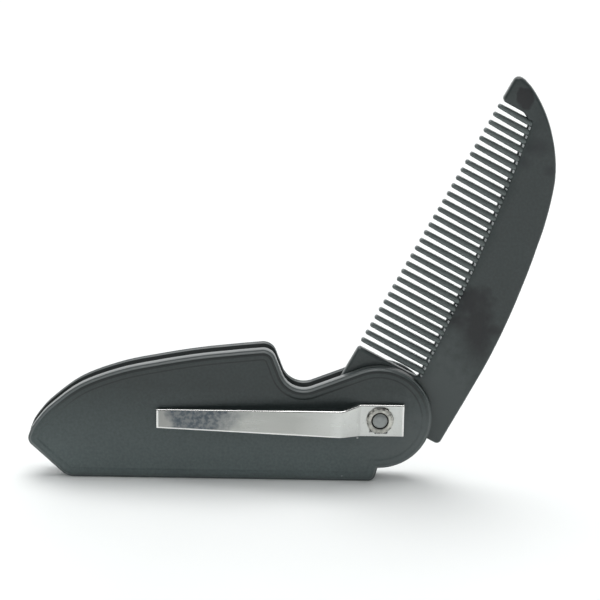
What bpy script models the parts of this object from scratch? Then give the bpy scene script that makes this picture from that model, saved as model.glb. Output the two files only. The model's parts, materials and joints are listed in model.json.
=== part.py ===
"""Folding pocket comb: a slotted case, a blade of teeth on a rivet, and a pocket clip.

The comb stands on the spine of its case. +X runs along the spine towards the pivot, +Y goes
from the clip side to the far side, +Z is up. The origin is the middle of the spine's flat.
All lengths below are in millimetres; MM turns them into Blender's metres.
"""
import math

import bmesh
import bpy
from mathutils import Vector

MM = 0.001

# Where the pivot lies, seen from the origin on the spine's flat
PIVOT_X = 41.6
PIVOT_Z = 17.9

# Thicknesses across the comb, from the clip side to the far side
WALL = 2.6
SLOT = 3.5
CASE_HALF = WALL + SLOT / 2
BLADE_THICK = 2.9

# Case, in the plane of its walls, seen from the pivot
DISC_CENTER = (-0.35, -0.2)
DISC_R = 14.05
DISC_FOOT_DEG = -91.0
SPINE_Z = -PIVOT_Z
SPINE_END_X = -1.2
SPINE_END_R = 2.0
SPINE_FRONT_X = -82.65
NOSE = (-93.2, -7.9)
NOSE_R = 2.6
CUT_R = 5.0
STEP_TOP = (-28.6, 18.55)
STEP_FOOT = (-23.65, 5.65)
STEP_R = 3.6
NOTCH_R = 6.0
NOTCH_TANGENT_DEG = 112.0
RIM_CURVE = (
    # along the rim, height
    (-91.75, -4.3),
    (-90.1, -1.9),
    (-86.75, 1.85),
    (-78.8, 7.95),
    (-68.3, 12.13),
    (-57.8, 14.54),
    (-47.4, 16.39),
    (-37.0, 17.68),
)
BORDER = (
    # how far in from the outline, how far below the face
    (1.8, 0.0),
    (1.0, 0.09),
    (0.4, 0.27),
    (0.0, 0.62),
)

# The web along the spine, which joins the two walls and stops the blade's heel
WEB_THICK = 2.9
WEB_END_X = -0.4
WEB_FRONT_X = -80.0

# Blade, in its own frame: along the blade from the pivot, and square to it towards the teeth
BLADE_REST_DEG = 61.9
TOOTH_COUNT = 31
TOOTH_FIRST = 15.8
TOOTH_PITCH = 2.37
TOOTH_TIP = 14.7
TOOTH_TIP_W = 1.15
TOOTH_ROOT_W = 1.56
TOOTH_TIP_THICK = 1.9
TOOTH_FLARE = 0.2
GAP_CORNER = 0.4
GAP_END = -3.17
GAP_END_SLOPE = 0.064
GAP_END_BEND = 0.00098
BLOCK_EDGE = 14.1
TIP_BLOCK_EDGE = 14.65
ROOT_BLOCK_TOP = 13.5
ROOT_BLOCK_FOOT = 3.0
TIP_BLOCK_FOOT = 88.7
TIP_FOOT_R = 0.9
ROOT_TOP_R = 1.0
ROOT_FOOT_R = 3.0
BLADE_ROOT_R = 13.0
ROOT_ROUND_DEG = (92.0, 270.0)
HEEL_U = 0.0
HEEL_V = -18.1
HEEL_R = 1.3
BACK_CURVE = (
    # along the blade, distance to the teeth side
    (14.5, -17.98),
    (27.1, -17.67),
    (39.1, -16.6),
    (50.6, -14.9),
    (58.0, -13.5),
    (67.0, -11.5),
    (76.3, -8.45),
    (82.4, -5.08),
    (88.1, -0.33),
    (92.2, 4.45),
    (94.95, 9.0),
    (96.05, 12.0),
)
TIP = (96.25, TIP_BLOCK_EDGE)
TIP_R = 1.7
BLADE_CHAMFER = ((0.3, 0.0), (0.0, 0.4))

# Clip: stations along the strip, seen from the pivot
CLIP_SHEET = 1.1
CLIP_SEAT_GAP = 0.3
CLIP_TAIL_X = 6.3
CLIP_SEAT_X = -5.4
CLIP_LEAF_X = -10.2
CLIP_TIP_X = -58.6
CLIP_SEAT_W = 8.7
CLIP_LEAF_W = 7.3
CLIP_TIP_W = 5.2
CLIP_LIFT = 3.6
CLIP_DROP = 0.2
CLIP_SKEW_DEG = 0.4
CLIP_BEND = 1.0
CLIP_EDGE = 0.12
BEND_STEPS = 4
LEAF_STEPS = 3

# Rivet: a shank with a rolled flange on the clip side and a low head on the far side
SHANK_R = 1.9
SHANK_GAP = 0.25
SEAT_GAP = 0.3
FLANGE = (
    # radius, height over its seat
    (0.0, 0.8),
    (1.2, 0.75),
    (1.95, 0.6),
    (2.15, 0.3),
    (2.4, 0.3),
    (2.52, 0.65),
    (2.9, 0.85),
    (3.37, 0.6),
    (3.62, 0.25),
    (3.47, 0.0),
)
HEAD = (
    # radius, height over its seat
    (3.6, 0.0),
    (3.5, 0.35),
    (2.7, 0.75),
    (1.45, 0.88),
    (0.0, 0.9),
)
ROUND_SIDES = 32
SHARP_DEG = 35.0


def clear_scene():
    for obj in list(bpy.data.objects):
        bpy.data.objects.remove(obj, do_unlink=True)


def make_material(name, color, roughness, metallic):
    mat = bpy.data.materials.new(name)
    mat.use_nodes = True
    shader = mat.node_tree.nodes["Principled BSDF"]
    shader.inputs["Base Color"].default_value = (*color, 1.0)
    shader.inputs["Roughness"].default_value = roughness
    shader.inputs["Metallic"].default_value = metallic
    return mat


def arc(center, radius, start_deg, end_deg, steps):
    """Points along an arc, both ends included, angles from +X towards the second axis."""
    points = []
    for i in range(steps + 1):
        a = math.radians(start_deg + (end_deg - start_deg) * i / steps)
        points.append((center[0] + radius * math.cos(a), center[1] + radius * math.sin(a)))
    return points


def round_corner(before, corner, after, radius, steps):
    """The arc that rounds a corner between two straight edges."""
    p = Vector(corner)
    a = (Vector(before) - p).normalized()
    b = (Vector(after) - p).normalized()
    half = a.angle(b) / 2
    reach = radius / math.tan(half)
    center = p + (a + b).normalized() * (radius / math.sin(half))
    start = p + a * reach - center
    end = p + b * reach - center
    turn = start.angle_signed(end)
    points = []
    for i in range(steps + 1):
        t = -turn * i / steps
        c, s = math.cos(t), math.sin(t)
        points.append((center.x + c * start.x - s * start.y, center.y + s * start.x + c * start.y))
    return points


def smooth_curve(knots, steps):
    """A smooth curve through the knots, steps pieces between each two."""
    pts = [Vector(k) for k in knots]
    pts = [2 * pts[0] - pts[1]] + pts + [2 * pts[-1] - pts[-2]]
    out = []
    for i in range(1, len(pts) - 2):
        a, b, c, d = pts[i - 1:i + 3]
        for k in range(steps):
            t = k / steps
            p = (2 * b + (c - a) * t + (2 * a - 5 * b + 4 * c - d) * t * t
                 + (3 * b - a - 3 * c + d) * t ** 3) / 2
            out.append((p.x, p.y))
    out.append(tuple(pts[-2]))
    return out


def inset_outline(outline, distance):
    """The outline moved inwards by a distance; the outline runs anticlockwise."""
    n = len(outline)
    moved = []
    for i in range(n):
        p = Vector(outline[i])
        a = (p - Vector(outline[i - 1])).normalized()
        b = (Vector(outline[(i + 1) % n]) - p).normalized()
        normal = (Vector((-a.y, a.x)) + Vector((-b.y, b.x))).normalized()
        stretch = max(0.35, normal.dot(Vector((-a.y, a.x))))
        q = p + normal * (distance / stretch)
        moved.append((q.x, q.y))
    return moved


def plate_from_outline(name, outline, half, border):
    """A plate whose outline lies in XZ, with a border that steps in towards both faces."""
    bm = bmesh.new()
    near = [(inset, -(half - depth)) for inset, depth in border]
    far = [(inset, half - depth) for inset, depth in reversed(border)]
    rings = []
    for inset, y in near + far:
        ring = inset_outline(outline, inset) if inset else outline
        rings.append([bm.verts.new((x, y, z)) for x, z in ring])
    n = len(outline)
    for lower, upper in zip(rings, rings[1:]):
        for i in range(n):
            j = (i + 1) % n
            bm.faces.new((lower[i], lower[j], upper[j], upper[i]))
    caps = [bm.faces.new(list(reversed(rings[0]))), bm.faces.new(rings[-1])]
    bm.normal_update()
    bmesh.ops.triangulate(bm, faces=caps, ngon_method="EAR_CLIP")
    bmesh.ops.recalc_face_normals(bm, faces=bm.faces)
    return finish_mesh(name, bm)


def finish_mesh(name, bm):
    """An object from a shape drawn in millimetres."""
    bmesh.ops.scale(bm, vec=(MM, MM, MM), verts=bm.verts)
    mesh = bpy.data.meshes.new(name)
    bm.to_mesh(mesh)
    bm.free()
    mesh.shade_smooth()
    mesh.set_sharp_from_angle(angle=math.radians(SHARP_DEG))
    obj = bpy.data.objects.new(name, mesh)
    bpy.context.scene.collection.objects.link(obj)
    return obj


def place_at_pivot(obj):
    obj.location = (PIVOT_X * MM, 0, PIVOT_Z * MM)


def cut(target, cutter):
    """Cut one object with another, which stays hidden as its guide."""
    cutter.hide_render = True
    cutter.display_type = "WIRE"
    cutter.parent = target
    mod = target.modifiers.new("cut " + cutter.name, "BOOLEAN")
    mod.operation = "DIFFERENCE"
    mod.solver = "EXACT"
    mod.object = cutter


def pin_cutter(name, radius):
    """A round cutter through the whole comb on the pivot's axis."""
    outline = arc((0, 0), radius, 0, 360, ROUND_SIDES)[:-1]
    return plate_from_outline(name, outline, 2 * CASE_HALF, ((0.0, 0.0),))


def case_outline():
    """The outline of both walls, anticlockwise from the foot of the slanted nose cut."""
    spine_front = (SPINE_FRONT_X, SPINE_Z)
    spine_end = (SPINE_END_X, SPINE_Z)
    disc = arc(DISC_CENTER, DISC_R, DISC_FOOT_DEG, NOTCH_TANGENT_DEG, 40)
    points = []
    points += round_corner(NOSE, spine_front, spine_end, CUT_R, 5)
    points += round_corner(spine_front, spine_end, disc[0], SPINE_END_R, 5)
    points += disc
    points += round_corner(disc[-1], STEP_FOOT, STEP_TOP, NOTCH_R, 9)
    points += round_corner(STEP_FOOT, STEP_TOP, RIM_CURVE[-1], STEP_R, 8)
    points += list(reversed(smooth_curve(RIM_CURVE, 3)))
    points += round_corner(RIM_CURVE[0], NOSE, spine_front, NOSE_R, 6)
    return points


def make_case():
    case = plate_from_outline("case", case_outline(), CASE_HALF, BORDER)
    place_at_pivot(case)
    floor_z = SPINE_Z + WEB_THICK
    reach = 2 * PIVOT_X - NOSE[0]
    for name, left, right, low in (
            ("slot guide", -reach, reach, floor_z),
            ("nose guide", -reach, WEB_FRONT_X, -reach),
            ("heel guide", WEB_END_X, reach, -reach)):
        box = [(left, low), (right, low), (right, reach), (left, reach)]
        cut(case, plate_from_outline(name, box, SLOT / 2, ((0.0, 0.0),)))
    cut(case, pin_cutter("case pin guide", SHANK_R + SHANK_GAP))
    return case


def root_line(u):
    """How far towards the teeth side the gaps between the teeth end, along the blade."""
    run = u - TOOTH_FIRST
    return GAP_END + GAP_END_SLOPE * run + GAP_END_BEND * run * run


def blade_outline():
    """The blade, anticlockwise: heel, back, tip block, teeth, root block, root round."""
    back = smooth_curve(BACK_CURVE, 2)
    heel_top = (HEEL_U, -BLADE_ROOT_R)
    tip_foot = (TIP_BLOCK_FOOT, TIP_BLOCK_EDGE)
    root_top = (ROOT_BLOCK_TOP, BLOCK_EDGE)
    root_foot = (ROOT_BLOCK_FOOT, BLOCK_EDGE)
    half_pitch = TOOTH_PITCH / 2
    root_half = TOOTH_ROOT_W / 2
    tip_half = TOOTH_TIP_W / 2
    points = []
    points += round_corner(heel_top, (HEEL_U, HEEL_V), back[0], HEEL_R, 4)
    points += back
    points += round_corner(back[-1], TIP, tip_foot, TIP_R, 4)
    points += round_corner(TIP, tip_foot, (TIP_BLOCK_FOOT, 0), TIP_FOOT_R, 2)
    points.append((TIP_BLOCK_FOOT, root_line(TIP_BLOCK_FOOT) + GAP_CORNER))
    for k in reversed(range(TOOTH_COUNT)):
        u = TOOTH_FIRST + k * TOOTH_PITCH
        above = root_line(u + half_pitch)
        below = root_line(u - half_pitch)
        points.append((u + root_half + TOOTH_FLARE, above))
        points.append((u + root_half, above + GAP_CORNER))
        points += arc((u, TOOTH_TIP - tip_half), tip_half, 0, 180, 4)
        points.append((u - root_half, below + GAP_CORNER))
        points.append((u - root_half - TOOTH_FLARE, below))
    points.append((ROOT_BLOCK_TOP, root_line(ROOT_BLOCK_TOP) + GAP_CORNER))
    points += round_corner((ROOT_BLOCK_TOP, 0), root_top, root_foot, ROOT_TOP_R, 3)
    points += round_corner(root_top, root_foot, (0, BLADE_ROOT_R), ROOT_FOOT_R, 3)
    points += arc((0, 0), BLADE_ROOT_R, *ROOT_ROUND_DEG, 24)
    return points


def make_blade():
    blade = plate_from_outline("blade", blade_outline(), BLADE_THICK / 2, BLADE_CHAMFER)
    thin_teeth(blade)
    cut(blade, pin_cutter("blade pin guide", SHANK_R + SHANK_GAP))
    place_at_pivot(blade)
    blade.rotation_euler = (0, -math.radians(BLADE_REST_DEG), 0)
    return blade


def thin_teeth(blade):
    """The teeth get thinner towards their tips."""
    first = TOOTH_FIRST - TOOTH_PITCH / 2
    last = TOOTH_FIRST + (TOOTH_COUNT - 0.5) * TOOTH_PITCH
    thinnest = TOOTH_TIP_THICK / BLADE_THICK
    for vert in blade.data.vertices:
        u = vert.co.x / MM
        v = vert.co.z / MM
        start = root_line(u)
        if first < u < last and v > start + GAP_CORNER:
            share = (v - start) / (TOOTH_TIP - start)
            vert.co.y *= 1 + (thinnest - 1) * share


def clip_path():
    """Along the strip from tail to tip: place, and lift off its seat."""
    tail = Vector((CLIP_TAIL_X, 0.0))
    ramp_foot = Vector((CLIP_SEAT_X, 0.0))
    ramp_top = Vector((CLIP_LEAF_X, CLIP_LIFT))
    tip = Vector((CLIP_TIP_X, 0.0))
    path = [tail]
    for before, corner, after in ((tail, ramp_foot, ramp_top), (ramp_foot, ramp_top, tip)):
        turn = (corner - before).angle(after - corner)
        reach = CLIP_BEND * math.tan(turn / 2)
        start = corner + (before - corner).normalized() * reach
        end = corner + (after - corner).normalized() * reach
        for i in range(BEND_STEPS + 1):
            t = i / BEND_STEPS
            path.append(start * (1 - t) ** 2 + corner * 2 * t * (1 - t) + end * t * t)
    leaf = path[-1]
    path += [leaf.lerp(tip, i / LEAF_STEPS) for i in range(1, LEAF_STEPS + 1)]
    return path


def clip_width(x):
    """The strip tapers along its ramp, and again along its leaf."""
    if x > CLIP_SEAT_X:
        return CLIP_SEAT_W
    if x > CLIP_LEAF_X:
        share = (CLIP_SEAT_X - x) / (CLIP_SEAT_X - CLIP_LEAF_X)
        return CLIP_SEAT_W + (CLIP_LEAF_W - CLIP_SEAT_W) * share
    share = (CLIP_LEAF_X - x) / (CLIP_LEAF_X - CLIP_TIP_X)
    return CLIP_LEAF_W + (CLIP_TIP_W - CLIP_LEAF_W) * share


def clip_section(half):
    """The strip's section with its edges broken: height over the seat, place across."""
    top = CLIP_SHEET
    edge = CLIP_EDGE
    return (
        (0, edge - half), (0, half - edge), (edge, half), (top - edge, half),
        (top, half - edge), (top, edge - half), (top - edge, -half), (edge, -half),
    )


def make_clip():
    seat_y = -(CASE_HALF + CLIP_SEAT_GAP)
    path = clip_path()
    skew = math.tan(math.radians(CLIP_SKEW_DEG))
    bm = bmesh.new()
    rings = []
    for i, point in enumerate(path):
        along = path[min(i + 1, len(path) - 1)] - path[max(i - 1, 0)]
        out = Vector((along.y, -along.x)).normalized()
        middle = -CLIP_DROP + point.x * skew
        ring = []
        for height, across in clip_section(clip_width(point.x) / 2):
            place = point + out * height
            ring.append(bm.verts.new((place.x, seat_y - place.y, middle + across)))
        rings.append(ring)
    sides = len(rings[0])
    for a, b in zip(rings, rings[1:]):
        for i in range(sides):
            j = (i + 1) % sides
            bm.faces.new((a[i], a[j], b[j], b[i]))
    bm.faces.new(rings[0])
    bm.faces.new(list(reversed(rings[-1])))
    bmesh.ops.recalc_face_normals(bm, faces=bm.faces)
    clip = finish_mesh("clip", bm)
    place_at_pivot(clip)
    cut(clip, pin_cutter("clip pin guide", SHANK_R + SHANK_GAP))
    return clip


def rivet_profile():
    """Half the rivet's section, from the near middle round to the far middle: radius, place."""
    near_seat = -(CASE_HALF + CLIP_SEAT_GAP + CLIP_SHEET + SEAT_GAP)
    far_seat = CASE_HALF + SEAT_GAP
    profile = [(radius, near_seat - height) for radius, height in FLANGE]
    profile += [(SHANK_R, near_seat), (SHANK_R, far_seat)]
    profile += [(radius, far_seat + height) for radius, height in HEAD]
    return profile


def make_rivet():
    bm = bmesh.new()
    profile = rivet_profile()
    rings = []
    for radius, y in profile:
        if radius == 0.0:
            rings.append([bm.verts.new((0, y, 0))])
            continue
        ring = []
        for x, z in arc((0, 0), radius, 0, 360, ROUND_SIDES)[:-1]:
            ring.append(bm.verts.new((x, y, z)))
        rings.append(ring)
    for a, b in zip(rings, rings[1:]):
        for i in range(ROUND_SIDES):
            j = (i + 1) % ROUND_SIDES
            if len(a) == 1:
                bm.faces.new((a[0], b[j], b[i]))
            elif len(b) == 1:
                bm.faces.new((a[i], a[j], b[0]))
            else:
                bm.faces.new((a[i], a[j], b[j], b[i]))
    bmesh.ops.recalc_face_normals(bm, faces=bm.faces)
    rivet = finish_mesh("rivet", bm)
    place_at_pivot(rivet)
    return rivet


def main():
    clear_scene()
    black = make_material("case plastic", (0.040, 0.047, 0.047), 0.38, 0.0)
    gloss = make_material("blade plastic", (0.033, 0.039, 0.039), 0.30, 0.0)
    steel = make_material("clip steel", (0.62, 0.62, 0.60), 0.32, 1.0)
    dull = make_material("rivet steel", (0.50, 0.50, 0.48), 0.45, 1.0)
    for obj, mat in (
            (make_case(), black), (make_blade(), gloss), (make_clip(), steel), (make_rivet(), dull)):
        obj.data.materials.append(mat)


main()
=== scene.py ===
"""A folding pocket comb, open on its spine: moulded case and blade, sheet steel clip, rolled rivet.

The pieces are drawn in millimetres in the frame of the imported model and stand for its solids.
"""

import json
import math

import bmesh
import bpy
import numpy as np
from mathutils import Matrix, Vector
from mathutils.geometry import delaunay_2d_cdt


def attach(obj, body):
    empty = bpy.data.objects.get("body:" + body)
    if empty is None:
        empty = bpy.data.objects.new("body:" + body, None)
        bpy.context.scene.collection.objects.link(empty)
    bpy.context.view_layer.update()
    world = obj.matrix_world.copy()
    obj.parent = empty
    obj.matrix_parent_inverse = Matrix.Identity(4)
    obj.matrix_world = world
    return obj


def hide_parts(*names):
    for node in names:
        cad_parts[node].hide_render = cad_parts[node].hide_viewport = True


MM = 0.001

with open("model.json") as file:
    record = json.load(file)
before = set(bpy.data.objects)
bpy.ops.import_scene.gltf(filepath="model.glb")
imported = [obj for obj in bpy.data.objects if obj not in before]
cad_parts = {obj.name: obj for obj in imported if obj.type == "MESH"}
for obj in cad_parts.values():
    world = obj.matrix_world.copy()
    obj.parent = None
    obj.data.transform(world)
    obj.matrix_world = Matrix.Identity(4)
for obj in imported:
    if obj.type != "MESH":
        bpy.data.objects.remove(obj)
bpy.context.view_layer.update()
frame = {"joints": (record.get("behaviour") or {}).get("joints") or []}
PIVOT = Vector(frame["joints"][0]["pos_m"]) / MM

# Thicknesses across the comb
WALL = 2.6
SLOT = 3.5
SLOT_MOUTH = 3.3
CASE_HALF = WALL + SLOT / 2
BLADE_HALF = 1.45

# Case, in the plane of its walls, seen from the pivot
DISC_CENTER = (-0.35, -0.2)
DISC_R = 14.05
DISC_FOOT_DEG = -89.4
SPINE_Z = -PIVOT.z
SPINE_END_X = -1.2
SPINE_END_R = 2.0
SPINE_FRONT_X = -82.65
WEB_THICK = 2.9
WEB_END_X = -0.4
WEB_FRONT_X = -80.0
NOSE = (-93.2, -7.9)
NOSE_R = 2.6
CUT_R = 5.0
STEP_TOP = (-28.6, 18.55)
STEP_FOOT = (-23.65, 5.65)
STEP_R = 3.6
NOTCH_R = 6.0
NOTCH_TANGENT_DEG = 112.0
RIM_CURVE = (
    # along the rim, height
    (-91.75, -4.3),
    (-90.1, -1.9),
    (-86.75, 1.85),
    (-78.8, 7.95),
    (-68.3, 12.13),
    (-57.8, 14.54),
    (-47.4, 16.39),
    (-37.0, 17.68),
)
# How far the case and the blade lie inside the solids' outline
SKIN = 0.03
CASE_BORDER = (
    # how far in from the outline, how far below the raised border; the face lies lower
    (3.1, 0.15),
    (2.85, 0.148),
    (2.68, 0.135),
    (2.46, 0.10),
    (2.33, 0.03),
    (2.2, 0.01),
    (1.9, 0.01),
    (1.5, 0.03),
    (1.1, 0.065),
    (0.95, 0.085),
    (0.82, 0.125),
    (0.70, 0.19),
    (0.60, 0.27),
    (0.51, 0.36),
    (0.43, 0.46),
    (0.37, 0.555),
    (0.30, 0.58),
    (0.14, 0.59),
    (0.05, 0.61),
    (0.0, 0.66),
)
WEAR_AND_HIGHLIGHT = (0.14, 0.155, 0.155)  # the colour of wear with a painted highlight on the edges and the lip
CASE_BANDS = (
    # a pale lip, a painted highlight, and a dark step, painted shade, by their distance from the
    # middle
    # plane: from, to, strength, height where it fades in, colour
    (3.70, 3.80, 0.65, 0.0, WEAR_AND_HIGHLIGHT),
    (4.214, 4.31, 0.75, 22.0, (0.010, 0.012, 0.012)),
)
# The bands' soft edges, and half of the height over which they fade in
BAND_FEATHER = 0.01
BAND_RISE = 4.0
# Beyond these places the rim lies under the blade, in painted shade: where it is turned to the
# right, its edges lose their painted highlight and wear and its flat top is painted dark; a face's
# turn and the share that goes
BLADE_SHADE_STARTS = (41.0, 45.0)
BLADE_SHADE_TURN = (0.05, 0.4)
BLADE_SHADE_SHARE = 0.9
# The wear and painted highlight of an edge, by the Y of its normal: where it starts and where it is
# over
WEAR_HIGHLIGHT_STARTS = (0.93, 0.80)
WEAR_HIGHLIGHT_ENDS = (0.25, 0.45)
WALL_TOP = CASE_HALF - CASE_BORDER[-1][1]
# Spacing of the net on its faces, longest step along its outline, sides of the rivet's hole
CASE_GRID = 2.4
CASE_RUN = 1.2
PIN_SIDES = 48

# Blade, in its own frame: along the blade from the pivot, and square to it towards the teeth
BLADE_REST_DEG = 61.9
TOOTH_COUNT = 31
TOOTH_FIRST = 15.67
TOOTH_PITCH = 2.376
TOOTH_TIP = 14.3
TOOTH_TIP_SLOPE = 0.0055
TOOTH_TIP_W = 1.24
TOOTH_ROOT_W = 1.68
TOOTH_TIP_THICK = 1.9
TOOTH_ROOT_THICK = 2.84
TOOTH_CAP = 0.5
TOOTH_SECTION_POWER = 2.3
TOOTH_TAPER_POWER = 1.5
TOOTH_CAP_POWER = 0.7
TOOTH_CAP_DEGS = (25, 45, 62, 76)
TOOTH_SHANK_STEPS = 6
TOOTH_SIDES = 16
TOOTH_FOOT = (
    # place on the template, where -1 is the end of the gap; how much wider on each side
    (-2.1, 0.02),
    (-1.3, 0.04),
    (-1.1, 0.02),
)
TOOTH_UNEVENNESS = 0.03
TOOTH_SEED = 7
GAP_END = -3.6
GAP_END_SLOPE = 0.0605
GAP_END_BEND = 0.00098
BLOCK_EDGE = 14.1
TIP_BLOCK_EDGE = 14.65
ROOT_BLOCK_TOP = 13.8
ROOT_BLOCK_FOOT = 3.0
TIP_BLOCK_FOOT = 88.5
TIP_FOOT_R = 1.2
LAST_GAP_CURVE = (
    # how the last gap narrows: back from the tip block's edge, up from the line of the gaps' ends
    (0.0, 2.4),
    (0.06, 2.05),
    (0.18, 1.7),
    (0.36, 1.35),
    (0.60, 1.0),
    (0.85, 0.6),
    (1.08, 0.22),
)
# How far from the tip block the line of the gaps' ends starts; how far the rounded corner beside
# the root block reaches both ways, and its middle; steps for each tooth; how near counts as on it
LAST_GAP_REACH = 1.3
FIRST_GAP_REACH = 0.7
FIRST_GAP_MIDDLE = 0.2
GAP_LINE_STEPS = 6
ON_GAP_LINE = 0.05
ROOT_TOP_R = 1.0
ROOT_FOOT_R = 3.0
BLADE_ROOT_R = 13.0
ROOT_ROUND_DEG = (92.0, 270.0)
HEEL_U = 0.0
HEEL_V = -18.1
HEEL_R = 1.3
BACK_CURVE = (
    # along the blade, distance to the teeth side
    (14.5, -17.98),
    (27.1, -17.67),
    (39.1, -16.6),
    (50.6, -14.9),
    (58.0, -13.5),
    (67.0, -11.5),
    (76.3, -8.45),
    (82.4, -5.08),
    (88.1, -0.33),
    (92.2, 4.45),
    (94.95, 9.0),
    (96.05, 12.0),
)
TIP = (96.25, TIP_BLOCK_EDGE)
TIP_R = 1.7
BLADE_BORDER = (
    # how far in from the outline, how far below the face
    (0.80, 0.0),
    (0.58, 0.03),
    (0.38, 0.13),
    (0.21, 0.32),
    (0.08, 0.62),
    (0.0, 1.05),
)
GAP_FACET = (
    # the same at the ends of the gaps between the teeth
    (0.95, 0.0),
    (0.90, 0.04),
    (0.82, 0.15),
    (0.38, 0.8),
    (0.30, 0.95),
    (0.0, 1.05),
)
# Which faces of the facet get a painted highlight: how they are turned, how near its middle
GAP_HIGHLIGHT_TILT = (0.3, 0.8)
GAP_HIGHLIGHT_REACH = 0.15
BLADE_GRID = 2.4
BLADE_RUN = 1.5

# Clip, seen from the pivot
CLIP_SHEET = 1.1
CLIP_SEAT_GAP = 0.3
CLIP_TAIL_X = 6.3
CLIP_SEAT_X = -5.4
CLIP_LEAF_X = -10.2
CLIP_TIP_X = -58.6
CLIP_SEAT_W = 8.7
CLIP_LEAF_W = 7.3
CLIP_TIP_W = 5.2
CLIP_LIFT = 3.6
CLIP_DROP = 0.2
CLIP_SKEW_DEG = 0.4
CLIP_BEND = 2.6
CLIP_EDGE = 0.12
CLIP_NEAR_EDGE = 0.34
CLIP_NEAR_LOW_EDGE = 0.14
CLIP_LOW_EDGE = (-3.21, 0.0147)
CLIP_EDGE_STEPS = 7
TAIL_STEPS = 6
BEND_STEPS = 12
LEAF_STEPS = 24

# Rivet
SHANK_R = 1.9
SHANK_GAP = 0.25
SEAT_GAP = 0.3
FLANGE = (
    # radius, height over its seat
    (2.16, 0.1),
    (2.19, 0.28),
    (2.24, 0.44),
    (2.34, 0.55),
    (2.52, 0.6),
    (2.8, 0.61),
    (3.05, 0.6),
    (3.28, 0.54),
    (3.46, 0.42),
    (3.57, 0.25),
    (3.57, 0.08),
    (3.47, 0.0),
)
CORE = (
    # radius, height over its seat
    (0.0, 0.84),
    (0.5, 0.83),
    (1.0, 0.79),
    (1.4, 0.72),
    (1.7, 0.63),
    (1.9, 0.51),
    (2.01, 0.36),
    (2.07, 0.2),
    (2.09, 0.1),
)
HEAD = (
    # radius, height over its seat
    (3.5, 0.0),
    (3.6, 0.1),
    (3.58, 0.28),
    (3.45, 0.44),
    (3.2, 0.58),
    (2.8, 0.7),
    (2.2, 0.8),
    (1.45, 0.86),
    (0.7, 0.89),
    (0.0, 0.9),
)
CRACKS = (
    # direction round the rivet in degrees, half width in degrees, how deep the roll is split
    (43.0, 6.0, 0.24),
    (62.0, 3.0, 0.12),
    (130.0, 6.0, 0.28),
    (154.0, 3.0, 0.10),
    (176.0, 5.0, 0.20),
    (208.0, 3.0, 0.10),
    (268.0, 6.0, 0.22),
    (290.0, 3.0, 0.12),
    (333.0, 5.0, 0.24),
    (356.0, 3.0, 0.10),
)
# What a split takes off the radius and the height; the flange's first rows stay round
CRACK_BITE = 0.9
CRACK_DROP = 1.2
FLANGE_TRUE_ROWS = 4
FLANGE_WAVES = (
    # height of the wave, waves round the rivet, where they start in degrees
    (0.02, 3, 40),
    (0.01, 7, 0),
)
RIVET_SIDES = 144

# The photograph's camera: place in metres, turn in degrees, lens and sensor in millimetres
CAMERA_PLACE = (0.01806, -0.57726, 0.22527)
CAMERA_ELEVATION_DEG = 17.0
CAMERA_YAW_DEG = 0.2
CAMERA_ROLL_DEG = 1.0
CAMERA_LENS = 138.75
SENSOR_WIDTH = 36.0
VIEW_RANGE = (0.01, 20.0)

# The studio: a wide overhead light, how far it lies behind the zenith, its soft edge and strength,
# then the light of the sky, in front and at the back, and where the sky and the back start
LAMP_BACK_DEG = 15.0
LAMP_EDGE_DEG = (20.0, 29.0)
LAMP_LIGHT = 4.1
SKY_LIGHT = (0.46, 0.465, 0.465)
FRONT_LIGHT = (0.16, 0.175, 0.18)
BACK_LIGHT = (1.55, 1.57, 1.57)
SKY_STARTS = (0.30, 0.55)
BACK_STARTS = (-0.2, 0.85)
STUDIO_STRENGTH = 1.07

# The floor: half its width in millimetres, its clouds in cells for each metre, its two colours
FLOOR_HALF = 4000
FLOOR_CLOUDS = 14.0
FLOOR_COLORS = ((0.86, 0.88, 0.875), (0.89, 0.905, 0.90))


def arc(center, radius, start_deg, end_deg, steps):
    """Points along an arc, both ends included, angles from +X towards the second axis."""
    points = []
    for i in range(steps + 1):
        a = math.radians(start_deg + (end_deg - start_deg) * i / steps)
        points.append((center[0] + radius * math.cos(a), center[1] + radius * math.sin(a)))
    return points


def round_corner(before, corner, after, radius, steps):
    """The arc that rounds a corner between two straight edges."""
    p = Vector(corner)
    a = (Vector(before) - p).normalized()
    b = (Vector(after) - p).normalized()
    half = a.angle(b) / 2
    reach = radius / math.tan(half)
    center = p + (a + b).normalized() * (radius / math.sin(half))
    start = p + a * reach - center
    end = p + b * reach - center
    turn = start.angle_signed(end)
    points = []
    for i in range(steps + 1):
        t = -turn * i / steps
        c, s = math.cos(t), math.sin(t)
        points.append((center.x + c * start.x - s * start.y, center.y + s * start.x + c * start.y))
    return points


def smooth_curve(knots, steps):
    """A smooth curve through the knots, steps pieces between each two."""
    pts = [Vector(k) for k in knots]
    pts = [2 * pts[0] - pts[1]] + pts + [2 * pts[-1] - pts[-2]]
    out = []
    for i in range(1, len(pts) - 2):
        a, b, c, d = pts[i - 1:i + 3]
        for k in range(steps):
            t = k / steps
            p = (2 * b + (c - a) * t + (2 * a - 5 * b + 4 * c - d) * t * t
                 + (3 * b - a - 3 * c + d) * t ** 3) / 2
            out.append((p.x, p.y))
    out.append(tuple(pts[-2]))
    return out


def fill_runs(outline, longest):
    """The outline with its long straight runs split, so that no step is longer than asked."""
    out = []
    for i, p in enumerate(outline):
        q = Vector(outline[(i + 1) % len(outline)])
        p = Vector(p)
        parts = max(1, math.ceil((q - p).length / longest))
        out += [tuple(p.lerp(q, k / parts)) for k in range(parts)]
    return out


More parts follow.
